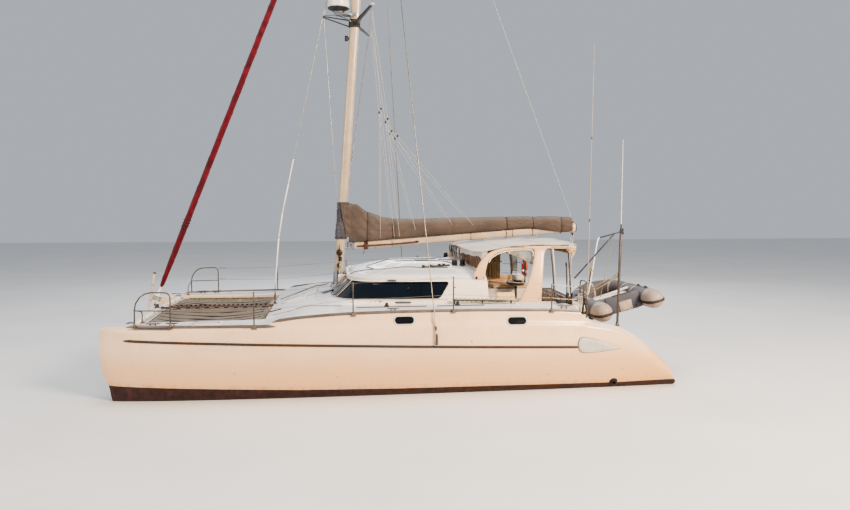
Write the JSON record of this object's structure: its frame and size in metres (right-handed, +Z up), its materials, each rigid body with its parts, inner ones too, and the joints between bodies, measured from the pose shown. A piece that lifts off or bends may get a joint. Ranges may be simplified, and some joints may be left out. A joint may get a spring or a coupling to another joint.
{
  "type": "sailing catamaran",
  "caption": "Cruising sailing catamaran with two decked hulls, a bridge-deck saloon, furled headsail, covered boom, canopy over the cockpit and a tender on two stern arms.",
  "frame": {"origin": "on the centreline, amidships, at the waterline", "axes": "+X to the bow, +Y to port, +Z up"},
  "size_m": [10.8659, 5.8474, 15.2],
  "materials": {
    "gelcoat": "glossy",
    "antifoul": "matte",
    "steel": "polished tube",
    "alloy": "painted cream",
    "glass": "tinted",
    "net": "woven net",
    "canvas": "woven canvas",
    "bimini": "coated canvas",
    "sail": "woven strip",
    "hypalon": "coated fabric",
    "bronze": "satin",
    "black_plastic": "satin",
    "orange_foam": "matte",
    "cushion": "woven",
    "white_paint": "satin"
  },
  "bodies": {
    "root": {"hull_port": "gelcoat", "keel_port": "antifoul", "saildrive_leg_port": "alloy", "window_front_port": "glass", "window_side_port": "glass", "trampoline_port": "net", "shroud_port": "steel", "pulpit_port": "steel", "lifelines_port": "steel", "pushpit_port": "steel", "seat_cushion_port": "cushion", "roof_winch_port": "black_plastic", "tender_arm_port": "steel", "hull_starboard": "gelcoat", "keel_starboard": "antifoul", "saildrive_leg_starboard": "alloy", "window_front_starboard": "glass", "window_side_starboard": "glass", "trampoline_starboard": "net", "shroud_starboard": "steel", "pulpit_starboard": "steel", "lifelines_starboard": "steel", "pushpit_starboard": "steel", "seat_cushion_starboard": "cushion", "roof_winch_starboard": "black_plastic", "tender_arm_starboard": "steel", "bridge_deck": "gelcoat", "deckhouse": "gelcoat", "forward_crossbeam": "white_paint", "centre_spar": "alloy", "mast": "alloy", "spreaders": "alloy", "radar_dome": "white_paint", "inner_forestay": "steel", "sail_cover_collar": "canvas", "cockpit_arch": "gelcoat", "canopy": "bimini", "helm_console": "gelcoat", "tender_tubes": "hypalon", "tender_floor": "hypalon", "whip_antenna": "white_paint", "stern_pole": "steel", "lifebuoy": "orange_foam"},
    "boom": {"boom": "alloy", "sail_cover": "canvas"},
    "furler": {"furler_drum": "black_plastic", "furled_genoa": "sail"},
    "wheel": {"steering_wheel": "steel"},
    "door": {"companionway_door": "glass"},
    "rudder_port": {"rudder_port": "antifoul"},
    "rudder_starboard": {"rudder_starboard": "antifoul"},
    "propeller_port": {"propeller_port": "bronze"},
    "propeller_starboard": {"propeller_starboard": "bronze"},
    "bow_lid_port": {"bow_locker_lid_port": "gelcoat"},
    "bow_lid_starboard": {"bow_locker_lid_starboard": "gelcoat"},
    "engine_lid_port": {"engine_hatch_port": "gelcoat"},
    "engine_lid_starboard": {"engine_hatch_starboard": "gelcoat"},
    "roof_hatch": {"saloon_hatch": "glass"},
    "anchor_lid": {"anchor_locker_lid": "gelcoat"}
  },
  "joints": [
    {"name": "boom_swing", "type": "hinge", "parent": "root", "child": "boom", "pos_m": [1.045, 0, 2.62], "axis": [-0.0713, 0, 0.9975], "range_deg": [-50, 50]},
    {"name": "furler_turn", "type": "hinge", "parent": "root", "child": "furler", "pos_m": [4.94, 0, 1.72], "axis": [-0.3728, 0, 0.9279], "continuous": true},
    {"name": "rudder_port", "type": "hinge", "parent": "root", "child": "rudder_port", "pos_m": [-4.56, 1.985, -0.5], "axis": [0, 0, 1], "range_deg": [-35, 35]},
    {"name": "rudder_starboard", "type": "hinge", "parent": "root", "child": "rudder_starboard", "pos_m": [-4.56, -1.985, -0.5], "axis": [0, 0, 1], "range_deg": [-35, 35]},
    {"name": "wheel_turn", "type": "hinge", "parent": "root", "child": "wheel", "pos_m": [-2.085, -1.02, 1.8], "axis": [1, 0, 0], "range_deg": [-350, 350]},
    {"name": "propeller_port_turn", "type": "hinge", "parent": "root", "child": "propeller_port", "pos_m": [-2.93, 1.985, -0.69], "axis": [1, 0, 0], "continuous": true},
    {"name": "propeller_starboard_turn", "type": "hinge", "parent": "root", "child": "propeller_starboard", "pos_m": [-2.93, -1.985, -0.69], "axis": [1, 0, 0], "continuous": true},
    {"name": "door_slide", "type": "slide", "parent": "root", "child": "door", "axis": [0, 1, 0], "range_m": [0, 0.8]},
    {"name": "bow_lid_port_lift", "type": "hinge", "parent": "root", "child": "bow_lid_port", "pos_m": [3.85, 2.365, 1.3565], "axis": [0, 1, 0], "range_deg": [0, 85]},
    {"name": "engine_lid_port_lift", "type": "hinge", "parent": "root", "child": "engine_lid_port", "pos_m": [-3.625, 2.1475, 1.0424], "axis": [0, 1, 0], "range_deg": [0, 85]},
    {"name": "bow_lid_starboard_lift", "type": "hinge", "parent": "root", "child": "bow_lid_starboard", "pos_m": [3.85, -2.365, 1.3565], "axis": [0, 1, 0], "range_deg": [0, 85]},
    {"name": "engine_lid_starboard_lift", "type": "hinge", "parent": "root", "child": "engine_lid_starboard", "pos_m": [-3.625, -2.1475, 1.0424], "axis": [0, 1, 0], "range_deg": [0, 85]},
    {"name": "roof_hatch_lift", "type": "hinge", "parent": "root", "child": "roof_hatch", "pos_m": [-0.4, 0, 2.3054], "axis": [0, 1, 0], "range_deg": [0, 30]},
    {"name": "anchor_lid_lift", "type": "hinge", "parent": "root", "child": "anchor_lid", "pos_m": [1.94757, 0, 1.55103], "axis": [0, -1, 0], "range_deg": [0, 80]}
  ],
  "couplings": [
    {"joint": "rudder_starboard", "follows": "rudder_port", "ratio": 1},
    {"joint": "wheel_turn", "follows": "rudder_port", "ratio": 10}
  ]
}
